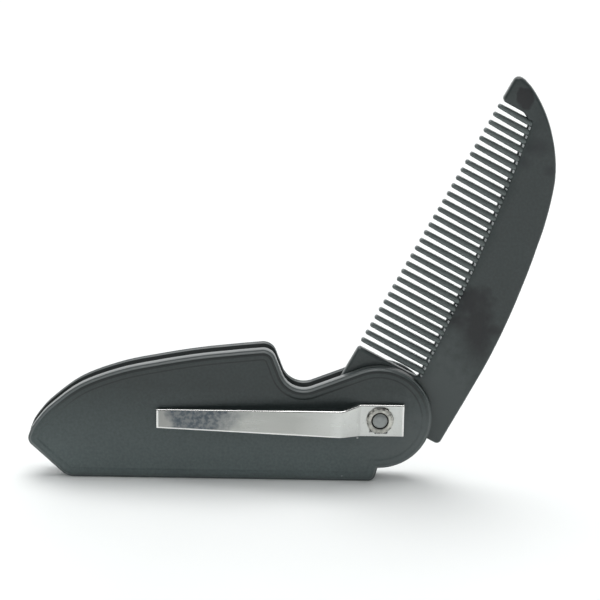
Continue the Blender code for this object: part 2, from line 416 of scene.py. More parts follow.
def inset_outline(outline, distances):
    """The outline moved inwards, each point by its own distance; it runs anticlockwise."""
    n = len(outline)
    moved = []
    for i in range(n):
        p = Vector(outline[i])
        a = (p - Vector(outline[i - 1])).normalized()
        b = (Vector(outline[(i + 1) % n]) - p).normalized()
        normal = (Vector((-a.y, a.x)) + Vector((-b.y, b.x))).normalized()
        stretch = max(0.35, normal.dot(Vector((-a.y, a.x))))
        q = p + normal * (distances[i] / stretch)
        moved.append((q.x, q.y))
    return moved


def distance_to(outline, points):
    """How far each point lies from the outline."""
    a = np.array(outline)
    b = np.roll(a, -1, axis=0)
    run = b - a
    length2 = np.maximum((run ** 2).sum(1), 1e-12)
    rel = np.array(points)[:, None, :] - a[None]
    t = np.clip((rel * run[None]).sum(2) / length2, 0, 1)
    off = rel - t[..., None] * run[None]
    return np.sqrt((off ** 2).sum(2).min(1))


def inside(outline, points):
    """Which points lie inside the outline."""
    a = np.array(outline)
    b = np.roll(a, -1, axis=0)
    p = np.array(points)
    above = (a[None, :, 1] > p[:, None, 1]) != (b[None, :, 1] > p[:, None, 1])
    rise = np.where(b[:, 1] == a[:, 1], 1e-12, b[:, 1] - a[:, 1])
    cross = a[None, :, 0] + (p[:, None, 1] - a[None, :, 1]) * ((b - a)[:, 0] / rise)[None]
    return (above & (p[:, None, 0] < cross)).sum(1) % 2 == 1


def face_net(edge, spacing):
    """Triangles over the inside of a closed edge, with a staggered net of points inside it."""
    e = np.array(edge)
    lo, hi = e.min(0), e.max(0)
    net = []
    row = 0
    z = lo[1] + spacing / 2
    while z < hi[1]:
        x = lo[0] + spacing * (0.25 + 0.5 * (row % 2))
        while x < hi[0]:
            net.append((x, z))
            x += spacing
        z += spacing * math.sqrt(3) / 2
        row += 1
    net = np.array(net)
    net = net[inside(edge, net)]
    net = net[distance_to(edge, net) > spacing * 0.55]
    points = [Vector(p) for p in edge] + [Vector(p) for p in net]
    loop = [(i, (i + 1) % len(edge)) for i in range(len(edge))]
    verts, _, faces, _, _, _ = delaunay_2d_cdt(points, loop, [], 1, 1e-6)
    return [tuple(v) for v in verts], faces


def bordered_plate(outline, half, border, spacing, facet=None, at_facet=None):
    """A plate with its outline in XZ and its border in rings, from the face down to the edge.
    Some of its points can have another border."""
    bm = bmesh.new()
    near = []
    for k, (inset, depth) in enumerate(border):
        insets = [SKIN + (facet[k][0] if at_facet and at_facet[i] else inset)
                  for i in range(len(outline))]
        ring = inset_outline(outline, insets)
        near.append([(x, (facet[k][1] if at_facet and at_facet[i] else depth) - half, z)
                     for i, (x, z) in enumerate(ring)])
    far = [[(x, -y, z) for x, y, z in ring] for ring in reversed(near)]
    rings = [[bm.verts.new(p) for p in ring] for ring in near + far]
    n = len(outline)
    for lower, upper in zip(rings, rings[1:]):
        for i in range(n):
            j = (i + 1) % n
            bm.faces.new((lower[i], lower[j], upper[j], upper[i]))
    net, faces = face_net([(x, z) for x, _, z in near[0]], spacing)
    for side in (-1, 1):
        skin = [bm.verts.new((x, side * (half - border[0][1]), z)) for x, z in net]
        for face in faces:
            bm.faces.new([skin[i] for i in face])
    bmesh.ops.remove_doubles(bm, verts=bm.verts, dist=1e-4)
    bmesh.ops.recalc_face_normals(bm, faces=bm.faces)
    return bm


def piece(name, bm, place, sharp_deg):
    """A piece from a shape in millimetres, with its place in its mesh."""
    bm.transform(Matrix.Scale(MM, 4) @ place)
    mesh = bpy.data.meshes.new(name)
    bm.to_mesh(mesh)
    bm.free()
    mesh.shade_smooth()
    mesh.set_sharp_from_angle(angle=math.radians(sharp_deg))
    obj = bpy.data.objects.new(name, mesh)
    bpy.context.scene.collection.objects.link(obj)
    return obj


AT_PIVOT = Matrix.Translation(PIVOT)
ON_BLADE = AT_PIVOT @ Matrix.Rotation(-math.radians(BLADE_REST_DEG), 4, "Y")


def apply_modifiers(obj):
    """The object's mesh as its modifiers leave it, with the modifiers gone."""
    depsgraph = bpy.context.evaluated_depsgraph_get()
    mesh = bpy.data.meshes.new_from_object(obj.evaluated_get(depsgraph))
    obj.modifiers.clear()
    obj.data = mesh


def case_outline():
    """The outline of both walls, anticlockwise from the foot of the slanted nose cut."""
    spine_front = (SPINE_FRONT_X, SPINE_Z)
    spine_end = (SPINE_END_X, SPINE_Z)
    disc = arc(DISC_CENTER, DISC_R, DISC_FOOT_DEG, NOTCH_TANGENT_DEG, 110)
    points = []
    points += round_corner(NOSE, spine_front, spine_end, CUT_R, 10)
    points += round_corner(spine_front, spine_end, disc[0], SPINE_END_R, 10)
    points += disc
    points += round_corner(disc[-1], STEP_FOOT, STEP_TOP, NOTCH_R, 24)
    points += round_corner(STEP_FOOT, STEP_TOP, RIM_CURVE[-1], STEP_R, 20)
    points += list(reversed(smooth_curve(RIM_CURVE, 12)))
    points += round_corner(RIM_CURVE[0], NOSE, spine_front, NOSE_R, 12)
    return fill_runs(points, CASE_RUN)


def cut(target, cutters):
    """Cut a piece with other shapes, and throw those away."""
    for cutter in cutters:
        mod = target.modifiers.new(cutter.name, "BOOLEAN")
        mod.operation = "DIFFERENCE"
        mod.solver = "EXACT"
        mod.object = cutter
    apply_modifiers(target)
    for cutter in cutters:
        bpy.data.objects.remove(cutter, do_unlink=True)


def prism(name, outline, half, place):
    """A straight sided cutter."""
    bm = bmesh.new()
    near = [bm.verts.new((x, -half, z)) for x, z in outline]
    far = [bm.verts.new((x, half, z)) for x, z in outline]
    for i in range(len(outline)):
        j = (i + 1) % len(outline)
        bm.faces.new((near[i], near[j], far[j], far[i]))
    bm.faces.new(list(reversed(near)))
    bm.faces.new(far)
    bmesh.ops.recalc_face_normals(bm, faces=bm.faces)
    return piece(name, bm, place, 30)


def pin_cutter(place):
    """A round cutter for the rivet's hole."""
    hole = arc((0, 0), SHANK_R + SHANK_GAP, 0, 360, PIN_SIDES)[:-1]
    return prism("pin cutter", hole, 2 * CASE_HALF, place)


def make_case():
    """Both walls in one plate, with the slot, its open ends and the rivet's hole cut out of it."""
    bm = bordered_plate(case_outline(), CASE_HALF, CASE_BORDER, CASE_GRID)
    case = piece("case_shell", bm, AT_PIVOT, 35)
    floor_z = SPINE_Z + WEB_THICK
    reach = 2 * PIVOT.x - NOSE[0]
    cutters = []
    for name, left, right, low in (
            ("slot cutter", -reach, reach, floor_z),
            ("nose cutter", -reach, WEB_FRONT_X, -reach),
            ("heel cutter", WEB_END_X, reach, -reach)):
        box = [(left, low), (right, low), (right, reach), (left, reach)]
        cutters.append(prism(name, box, SLOT_MOUTH / 2, AT_PIVOT))
    cutters.append(pin_cutter(AT_PIVOT))
    cut(case, cutters)
    return case


def gap_end(u):
    """How far towards the teeth side the gaps between the teeth end, along the blade."""
    run = u - TOOTH_FIRST
    return GAP_END + GAP_END_SLOPE * run + GAP_END_BEND * run * run


def blade_outline():
    """The blade without its teeth, and which of its points lie along the ends of the gaps."""
    back = smooth_curve(BACK_CURVE, 8)
    heel_top = (HEEL_U, -BLADE_ROOT_R)
    tip_foot = (TIP_BLOCK_FOOT, TIP_BLOCK_EDGE)
    root_top = (ROOT_BLOCK_TOP, BLOCK_EDGE)
    root_foot = (ROOT_BLOCK_FOOT, BLOCK_EDGE)
    points = []
    points += round_corner(heel_top, (HEEL_U, HEEL_V), back[0], HEEL_R, 10)
    points += back
    points += round_corner(back[-1], TIP, tip_foot, TIP_R, 12)
    points += round_corner(TIP, tip_foot, (TIP_BLOCK_FOOT, 0), TIP_FOOT_R, 5)
    last = TIP_BLOCK_FOOT - LAST_GAP_REACH
    first = ROOT_BLOCK_TOP + FIRST_GAP_REACH
    for back_off, rise in LAST_GAP_CURVE:
        points.append((TIP_BLOCK_FOOT - back_off, gap_end(TIP_BLOCK_FOOT) + rise))
    steps = GAP_LINE_STEPS * TOOTH_COUNT
    for k in range(steps + 1):
        u = last + (first - last) * k / steps
        points.append((u, gap_end(u)))
    foot = gap_end(ROOT_BLOCK_TOP)
    points.append((ROOT_BLOCK_TOP + FIRST_GAP_MIDDLE, foot + FIRST_GAP_MIDDLE))
    points.append((ROOT_BLOCK_TOP, foot + FIRST_GAP_REACH))
    points += round_corner((ROOT_BLOCK_TOP, 0), root_top, root_foot, ROOT_TOP_R, 8)
    points += round_corner(root_top, root_foot, (0, BLADE_ROOT_R), ROOT_FOOT_R, 8)
    points += arc((0, 0), BLADE_ROOT_R, *ROOT_ROUND_DEG, 70)
    points = fill_runs(points, BLADE_RUN)
    at_gaps = [first <= u <= last and abs(v - gap_end(u)) < ON_GAP_LINE for u, v in points]
    return points, at_gaps


def make_blade():
    """The blade without its teeth, with a slanted facet along the ends of the gaps."""
    outline, at_gaps = blade_outline()
    bm = bordered_plate(outline, BLADE_HALF, BLADE_BORDER, BLADE_GRID, GAP_FACET, at_gaps)
    blade = piece("blade_body", bm, ON_BLADE, 40)
    cut(blade, [pin_cutter(AT_PIVOT)])
    return blade


def paint_gap_end_highlights(blade, slot):
    """The slanted facet at the end of each gap gets a painted highlight between its two teeth."""
    to_blade = ON_BLADE.inverted()
    half_gap = (TOOTH_PITCH - TOOTH_ROOT_W) / 2
    middle = -(GAP_FACET[2][0] + GAP_FACET[3][0]) / 2
    for face in blade.data.polygons:
        spot = to_blade @ (face.center / MM)
        off = abs((spot.x - TOOTH_FIRST) % TOOTH_PITCH - TOOTH_PITCH / 2)
        if off < half_gap and GAP_HIGHLIGHT_TILT[0] < abs(face.normal.y) < GAP_HIGHLIGHT_TILT[1]:
            if abs(spot.z - gap_end(spot.x) - middle) < GAP_HIGHLIGHT_REACH:
                face.material_index = slot


def tooth_template():
    """One tooth: its shank from -1 to 0 is stretched later, its flare and its tip are not."""
    rows = [(z, TOOTH_ROOT_W / 2 + wider, TOOTH_ROOT_THICK / 2) for z, wider in TOOTH_FOOT]
    for i in range(TOOTH_SHANK_STEPS + 1):
        share = i / TOOTH_SHANK_STEPS
        w = (TOOTH_ROOT_W + (TOOTH_TIP_W - TOOTH_ROOT_W) * share ** TOOTH_TAPER_POWER) / 2
        t = (TOOTH_ROOT_THICK + (TOOTH_TIP_THICK - TOOTH_ROOT_THICK) * share) / 2
        rows.append((share - 1, w, t))
    for deg in TOOTH_CAP_DEGS:
        a = math.radians(deg)
        rows.append((TOOTH_CAP * math.sin(a), TOOTH_TIP_W / 2 * math.cos(a),
                     TOOTH_TIP_THICK / 2 * math.cos(a) ** TOOTH_CAP_POWER))
    bm = bmesh.new()
    rings = []
    power = 2 / TOOTH_SECTION_POWER
    for z, w, t in rows:
        ring = []
        for i in range(TOOTH_SIDES):
            a = 2 * math.pi * (i + 0.5) / TOOTH_SIDES
            c, s = math.cos(a), math.sin(a)
            ring.append(bm.verts.new((
                math.copysign(abs(c) ** power, c) * w, math.copysign(abs(s) ** power, s) * t, z)))
        rings.append(ring)
    for a, b in zip(rings, rings[1:]):
        for i in range(TOOTH_SIDES):
            j = (i + 1) % TOOTH_SIDES
            bm.faces.new((a[i], a[j], b[j], b[i]))
    bm.faces.new(list(reversed(rings[0])))
    pole = bm.verts.new((0, 0, TOOTH_CAP))
    for i in range(TOOTH_SIDES):
        bm.faces.new((rings[-1][i], rings[-1][(i + 1) % TOOTH_SIDES], pole))
    bmesh.ops.recalc_face_normals(bm, faces=bm.faces)
    mesh = bpy.data.meshes.new("tooth")
    bm.to_mesh(mesh)
    bm.free()
    mesh.shade_smooth()
    obj = bpy.data.objects.new("tooth", mesh)
    bpy.context.scene.collection.objects.link(obj)
    return obj


class Tree:
    """A small helper to write a node tree as one line for each node."""

    def __init__(self, tree):
        self.tree = tree

    def add(self, kind, settings=None, **inputs):
        """A new node, with its settings and its inputs."""
        node = self.tree.nodes.new(kind)
        for key, value in (settings or {}).items():
            setattr(node, key, value)
        for key, value in inputs.items():
            self.feed(node, key, value)
        return node

    def feed(self, node, key, value):
        """Give an input a value or a link. _0, _1 and so on name an input by its number."""
        index = key.lstrip("_")
        if index.isdigit():
            socket = node.inputs[int(index)]
        else:
            socket = node.inputs[key.replace("_", " ")]
        if isinstance(value, bpy.types.NodeSocket):
            self.tree.links.new(value, socket)
        else:
            socket.default_value = value

    def math(self, operation, a, b=0.0):
        """A sum of two numbers."""
        return self.add("ShaderNodeMath", {"operation": operation}, _0=a, _1=b).outputs[0]

    def vector(self, operation, a, **inputs):
        """A sum with vectors; a length and a dot product come out as a number."""
        node = self.add("ShaderNodeVectorMath", {"operation": operation}, _0=a, **inputs)
        return node.outputs["Value" if operation in ("LENGTH", "DOT_PRODUCT") else "Vector"]


def teeth_tree():
    """Teeth in a row: each shank is stretched from the tips' line to the end of its gap."""
    tree = bpy.data.node_groups.new("comb teeth", "GeometryNodeTree")
    face = tree.interface
    face.new_socket("Geometry", in_out="INPUT", socket_type="NodeSocketGeometry")
    face.new_socket("Geometry", in_out="OUTPUT", socket_type="NodeSocketGeometry")
    for name, kind, value in (
            ("Tooth", "NodeSocketObject", None),
            ("Count", "NodeSocketInt", TOOTH_COUNT),
            ("First", "NodeSocketFloat", TOOTH_FIRST),
            ("Pitch", "NodeSocketFloat", TOOTH_PITCH),
            ("Tip", "NodeSocketFloat", TOOTH_TIP - TOOTH_CAP),
            ("Tip Slope", "NodeSocketFloat", TOOTH_TIP_SLOPE),
            ("Gap End", "NodeSocketFloat", GAP_END),
            ("Slope", "NodeSocketFloat", GAP_END_SLOPE),
            ("Bend", "NodeSocketFloat", GAP_END_BEND),
            ("Unevenness", "NodeSocketFloat", TOOTH_UNEVENNESS),
            ("Seed", "NodeSocketInt", TOOTH_SEED),
            ("Material", "NodeSocketMaterial", None)):
        socket = face.new_socket(name, in_out="INPUT", socket_type=kind)
        if value is not None:
            socket.default_value = value
    t = Tree(tree)
    given = t.add("NodeGroupInput").outputs
    row = t.add("GeometryNodeMeshLine", {"mode": "OFFSET"}, Count=given["Count"])
    start = t.add("ShaderNodeCombineXYZ", X=given["First"])
    step = t.add("ShaderNodeCombineXYZ", X=given["Pitch"])
    t.feed(row, "Start_Location", start.outputs[0])
    t.feed(row, "Offset", step.outputs[0])
    tooth = t.add("GeometryNodeObjectInfo", Object=given["Tooth"])
    place = t.add("ShaderNodeSeparateXYZ", Vector=t.add("GeometryNodeInputPosition").outputs[0])
    run = t.math("SUBTRACT", place.outputs["X"], given["First"])
    bend = t.math("MULTIPLY", t.math("MULTIPLY", run, run), given["Bend"])
    end = t.math("ADD", given["Gap End"], t.math("MULTIPLY", run, given["Slope"]))
    end = t.math("ADD", end, bend)
    chance = t.add("FunctionNodeRandomValue", {"data_type": "FLOAT"}, Seed=given["Seed"])
    t.feed(chance, "_2", -1.0)
    t.feed(chance, "_3", 1.0)
    uneven = t.math("MULTIPLY", chance.outputs[1], given["Unevenness"])
    tip_shift = t.math("ADD", uneven, t.math("MULTIPLY", run, given["Tip Slope"]))
    marked = t.add("GeometryNodeStoreNamedAttribute", {"data_type": "FLOAT", "domain": "POINT"},
                   Geometry=row.outputs[0], Name="gap_end", Value=end)
    marked = t.add("GeometryNodeStoreNamedAttribute", {"data_type": "FLOAT", "domain": "POINT"},
                   Geometry=marked.outputs[0], Name="tip_shift", Value=tip_shift)
    copies = t.add("GeometryNodeInstanceOnPoints", Points=marked.outputs[0],
                   Instance=tooth.outputs["Geometry"])
    solid = t.add("GeometryNodeRealizeInstances", Geometry=copies.outputs[0])
    read_end = t.add("GeometryNodeInputNamedAttribute", {"data_type": "FLOAT"}, Name="gap_end")
    read_shift = t.add("GeometryNodeInputNamedAttribute", {"data_type": "FLOAT"}, Name="tip_shift")
    top = t.math("ADD", given["Tip"], read_shift.outputs[0])
    length = t.math("SUBTRACT", top, read_end.outputs[0])
    where = t.add("ShaderNodeSeparateXYZ", Vector=t.add("GeometryNodeInputPosition").outputs[0])
    z = where.outputs["Z"]
    shank = t.math("MAXIMUM", t.math("MINIMUM", z, 0.0), -1.0)
    cap = t.math("MAXIMUM", z, 0.0)
    flare = t.math("MINIMUM", t.math("ADD", z, 1.0), 0.0)
    height = t.math("ADD", t.math("ADD", t.math("MULTIPLY", shank, length), top),
                    t.math("ADD", cap, flare))
    moved = t.add("ShaderNodeCombineXYZ", X=where.outputs["X"], Y=where.outputs["Y"], Z=height)
    shaped = t.add("GeometryNodeSetPosition", Geometry=solid.outputs[0], Position=moved.outputs[0])
    painted = t.add("GeometryNodeSetMaterial", Geometry=shaped.outputs[0],
                    Material=given["Material"])
    t.add("NodeGroupOutput", Geometry=painted.outputs[0])
    return tree


def make_teeth(material):
    """All the teeth as one plain mesh, set into the blade."""
    template = tooth_template()
    carrier = bpy.data.objects.new("blade_teeth", bpy.data.meshes.new("blade_teeth"))
    bpy.context.scene.collection.objects.link(carrier)
    tree = teeth_tree()
    mod = carrier.modifiers.new("teeth", "NODES")
    mod.node_group = tree
    ids = {item.name: item.identifier for item in tree.interface.items_tree
           if item.in_out == "INPUT"}
    mod[ids["Tooth"]] = template
    mod[ids["Material"]] = material
    apply_modifiers(carrier)
    carrier.data.transform(Matrix.Scale(MM, 4) @ ON_BLADE)
    bpy.data.objects.remove(template, do_unlink=True)
    return carrier


def clip_path():
    """Along the strip from tail to tip: place, and lift off its seat."""
    tail = Vector((CLIP_TAIL_X, 0.0))
    ramp_foot = Vector((CLIP_SEAT_X, 0.0))
    ramp_top = Vector((CLIP_LEAF_X, CLIP_LIFT))
    tip = Vector((CLIP_TIP_X, 0.0))
    path = [tail.lerp(ramp_foot, i / TAIL_STEPS) for i in range(TAIL_STEPS)]
    for before, corner, after in ((tail, ramp_foot, ramp_top), (ramp_foot, ramp_top, tip)):
        turn = (corner - before).angle(after - corner)
        reach = CLIP_BEND * math.tan(turn / 2)
        start = corner + (before - corner).normalized() * reach
        end = corner + (after - corner).normalized() * reach
        for i in range(BEND_STEPS + 1):
            t = i / BEND_STEPS
            path.append(start * (1 - t) ** 2 + corner * 2 * t * (1 - t) + end * t * t)
    leaf = path[-1]
    path += [leaf.lerp(tip, i / LEAF_STEPS) for i in range(1, LEAF_STEPS + 1)]
    return path


def clip_width(x):
    """The strip tapers along its ramp, and again along its leaf."""
    if x > CLIP_SEAT_X:
        return CLIP_SEAT_W
    if x > CLIP_LEAF_X:
        share = (CLIP_SEAT_X - x) / (CLIP_SEAT_X - CLIP_LEAF_X)
        return CLIP_SEAT_W + (CLIP_LEAF_W - CLIP_SEAT_W) * share
    share = (CLIP_LEAF_X - x) / (CLIP_LEAF_X - CLIP_TIP_X)
    return CLIP_LEAF_W + (CLIP_TIP_W - CLIP_LEAF_W) * share


def clip_section(half):
    """The strip's section with rounded edges: height over the seat, place across."""
    r = CLIP_EDGE
    b = CLIP_NEAR_EDGE
    d = CLIP_NEAR_LOW_EDGE
    points = []
    for center, radius, start in (
            ((r, r - half), r, 180), ((CLIP_SHEET - d, d - half), d, 270),
            ((CLIP_SHEET - b, half - b), b, 0), ((r, half - r), r, 90)):
        points += arc(center, radius, start, start + 90, CLIP_EDGE_STEPS)
    return points


def make_clip():
    """The strip's section carried along its path, with the rivet's hole cut out of it."""
    seat_y = -(CASE_HALF + CLIP_SEAT_GAP)
    path = clip_path()
    skew = math.tan(math.radians(CLIP_SKEW_DEG))
    bm = bmesh.new()
    rings = []
    for i, point in enumerate(path):
        along = path[min(i + 1, len(path) - 1)] - path[max(i - 1, 0)]
        out = Vector((along.y, -along.x)).normalized()
        middle = -CLIP_DROP + point.x * skew
        ring = []
        for height, across in clip_section(clip_width(point.x) / 2):
            place = point + out * height
            ring.append(bm.verts.new((place.x, seat_y - place.y, middle + across)))
        rings.append(ring)
    sides = len(rings[0])
    for a, b in zip(rings, rings[1:]):
        for i in range(sides):
            j = (i + 1) % sides
            bm.faces.new((a[i], a[j], b[j], b[i]))
    bm.faces.new(rings[0])
    bm.faces.new(list(reversed(rings[-1])))
    bmesh.ops.recalc_face_normals(bm, faces=bm.faces)
    clip = piece("pocket_clip", bm, AT_PIVOT, 40)
    cut(clip, [pin_cutter(AT_PIVOT)])
    return clip


def lathe(profile, shift=None):
    """A turned shape about the pivot's axis: rows of radius and place, closed at radius 0."""
    bm = bmesh.new()
    rings = []
    for row, (radius, y) in enumerate(profile):
        if radius == 0.0:
            rings.append([bm.verts.new((0, y, 0))])
            continue
        ring = []
        for i in range(RIVET_SIDES):
            deg = 360 * i / RIVET_SIDES
            r, h = shift(row, deg, radius, y) if shift else (radius, y)
            a = math.radians(deg)
            ring.append(bm.verts.new((r * math.cos(a), h, r * math.sin(a))))
        rings.append(ring)
    for a, b in zip(rings, rings[1:]):
        for i in range(RIVET_SIDES):
            j = (i + 1) % RIVET_SIDES
            if len(a) == 1:
                bm.faces.new((a[0], b[j], b[i]))
            elif len(b) == 1:
                bm.faces.new((a[i], a[j], b[0]))
            else:
                bm.faces.new((a[i], a[j], b[j], b[i]))
    bmesh.ops.recalc_face_normals(bm, faces=bm.faces)
    return bm


def crack_depth(deg):
    """How far the rolled edge is split at a direction round the rivet."""
    depth = 0.0
    for middle, half, deep in CRACKS:
        off = abs((deg - middle + 180) % 360 - 180) / half
        if off < 1:
            depth = max(depth, deep * (1 - off * off))
    return depth


def make_rivet():
    """One turned shape from the core over the rolled flange and the shank to the far head."""
    near_seat = -(CASE_HALF + CLIP_SEAT_GAP + CLIP_SHEET + SEAT_GAP)
    far_seat = CASE_HALF + SEAT_GAP
    core_rows = [(radius, near_seat - height) for radius, height in CORE]
    flange_rows = [(radius, near_seat - height) for radius, height in FLANGE]
    shank_rows = [(SHANK_R, near_seat), (SHANK_R, far_seat)]
    head_rows = [(radius, far_seat + height) for radius, height in HEAD]
    first_flange = len(core_rows)
    last_flange = first_flange + len(flange_rows)

    def rolled(row, deg, radius, y):
        """The flange's rows after its first ones, waved and split."""
        first_rolled = first_flange + FLANGE_TRUE_ROWS
        if not first_rolled <= row < last_flange:
            return radius, y
        share = (row - first_rolled + 1) / (last_flange - first_rolled)
        crack = crack_depth(deg) * share
        wobble = sum(high * math.sin(math.radians(waves * deg + start))
                     for high, waves, start in FLANGE_WAVES)
        lift = (near_seat - y) * (1 - CRACK_DROP * crack)
        return radius - crack * CRACK_BITE + wobble * share, near_seat - max(0.0, lift)

    bm = lathe(core_rows + flange_rows + shank_rows + head_rows, rolled)
    return piece("rivet_rolled", bm, AT_PIVOT, 50)


def new_material(name):
    """A material, a helper for its tree, and its shader."""
    mat = bpy.data.materials.new(name)
    mat.use_nodes = True
    tree = mat.node_tree
    return mat, Tree(tree), tree.nodes["Principled BSDF"]


def noise(t, coords, scale, detail=3.0, stretch=None):
    """A noise pattern, scale in cells for each metre, stretched along X, Y or Z if asked."""
    if stretch:
        coords = t.add("ShaderNodeMapping", Vector=coords, Scale=stretch).outputs[0]
    return t.add("ShaderNodeTexNoise", Vector=coords, Scale=scale, Detail=detail).outputs["Fac"]


def spread(t, value, low, high, to_low, to_high):
    """The value's range stretched to another, with its ends held."""
    return t.add("ShaderNodeMapRange", Value=value, From_Min=low, From_Max=high,
                 To_Min=to_low, To_Max=to_high).outputs[0]


def mix_color(t, share, a, b):
    """Colour a where the share is 0, colour b where it is 1."""
    node = t.add("ShaderNodeMix", {"data_type": "RGBA"}, _0=share)
    for key, color in (("_6", a), ("_7", b)):
        t.feed(node, key, (*color, 1) if isinstance(color, tuple) else color)
    return node.outputs[2]


def patch(t, coords, center, size, edge):
    """A round patch, 1 in its middle, at a place in the model's frame in millimetres, with an edge
    from soft at 0 to crisp at 1 that wanders a little."""
    place = tuple(-c * MM for c in center)
    moved = t.vector("ADD", coords, _1=place)
    stretch = tuple(1 / (s * MM) for s in size)
    length = t.vector("LENGTH", t.vector("MULTIPLY", moved, _1=stretch))
    wander = spread(t, noise(t, coords, WANDER, 2.0), 0.3, 0.7, -0.16, 0.16)
    return spread(t, t.math("ADD", length, wander), edge, 1.0, 1.0, 0.0)


# Patterns of the plastic, in cells for each metre
CLOUDS = 60.0
MOTTLE = 1400.0
SPECKS = 210.0
SPECK_FIELDS = 90.0
GRAIN = 2600.0
SCUFFS = 700.0
WAVES = 28.0
WANDER = 420.0

# How much the mottle changes the colour, how large and strong the specks are, where they lie
MOTTLE_RANGE = (0.88, 1.12)
SPECK_SIZE = (0.035, 0.06)
SPECK_STRENGTH = 0.55
SPECK_FIELD = 0.62

# Colours of the plastic: its own two, the teeth painted lighter, the gap ends' painted highlight,
# dust, the slot's painted shade
CASE_BLACK = ((0.032, 0.042, 0.042), (0.037, 0.048, 0.048))
BLADE_BLACK = ((0.034, 0.044, 0.044), (0.040, 0.051, 0.051))
TEETH_PAINTED_LIGHTER = ((0.110, 0.130, 0.128), (0.122, 0.143, 0.140))
GAP_END_HIGHLIGHT = ((0.66, 0.68, 0.68), (0.74, 0.76, 0.76))
DUST = (0.35, 0.37, 0.37)
SLOT_SHADE = (0.026, 0.030, 0.030)

# How rough each is, how strong the wear and painted highlight on the case's edges are, how much
# its foot is painted paler with floor light, over what height and on which side
CASE_ROUGH = 0.36
BLADE_ROUGH = 0.32
GAP_HIGHLIGHT_ROUGH = 0.4
CASE_WEAR_AND_HIGHLIGHT = 0.9
CASE_FOOT_GLOW = 2.8
FOOT_GLOW_HEIGHT = (0.003, 0.026)
NEAR_SIDE = (-0.003, 0.001)

BLADE_REFLECTIONS = (
    # painted reflections, and painted light near the heel: middle in the model's frame and half
    # sizes in millimetres, edge, strength, colour
    ((76.25, -1.45, 103.8), (2.5, 3.0, 3.2), 0.80, 1.0, (0.007, 0.008, 0.010)),
    ((80.1, -1.45, 90.8), (4.6, 3.0, 3.2), 0.2, 0.6, (0.014, 0.017, 0.021)),
    ((77.0, -1.45, 86.8), (2.4, 3.0, 2.2), 0.2, 0.5, (0.014, 0.017, 0.021)),
    ((83.7, -1.45, 84.8), (2.2, 3.0, 1.8), 0.3, 0.55, (0.014, 0.017, 0.021)),
    ((66.7, -1.45, 43.2), (5.6, 3.0, 12.0), 0.35, 0.9, (0.005, 0.006, 0.008)),
    ((64.6, -1.45, 50.3), (6.2, 3.0, 4.6), 0.3, 0.8, (0.005, 0.006, 0.008)),
    ((61.0, -1.45, 44.6), (3.6, 3.0, 3.8), 0.3, 0.8, (0.006, 0.007, 0.009)),
    ((70.4, -1.45, 41.6), (4.4, 3.0, 2.4), 0.3, 0.8, (0.006, 0.007, 0.009)),
    ((57.0, -1.45, 17.0), (12.0, 3.0, 27.0), 0.5, 0.9, (0.068, 0.082, 0.082)),
)
CASE_PATCHES = (
    # the same, for painted floor light below the rivet and two pale specks of dust
    ((52.0, -4.35, 10.0), (21.0, 3.0, 17.0), 0.0, 0.7, (0.115, 0.13, 0.13)),
    ((35.84, -4.35, 12.3), (0.36, 1.0, 0.36), 0.55, 0.9, (0.45, 0.46, 0.46)),
    ((-12.96, -4.35, 32.47), (0.24, 1.0, 0.24), 0.5, 0.7, (0.3, 0.31, 0.31)),
)


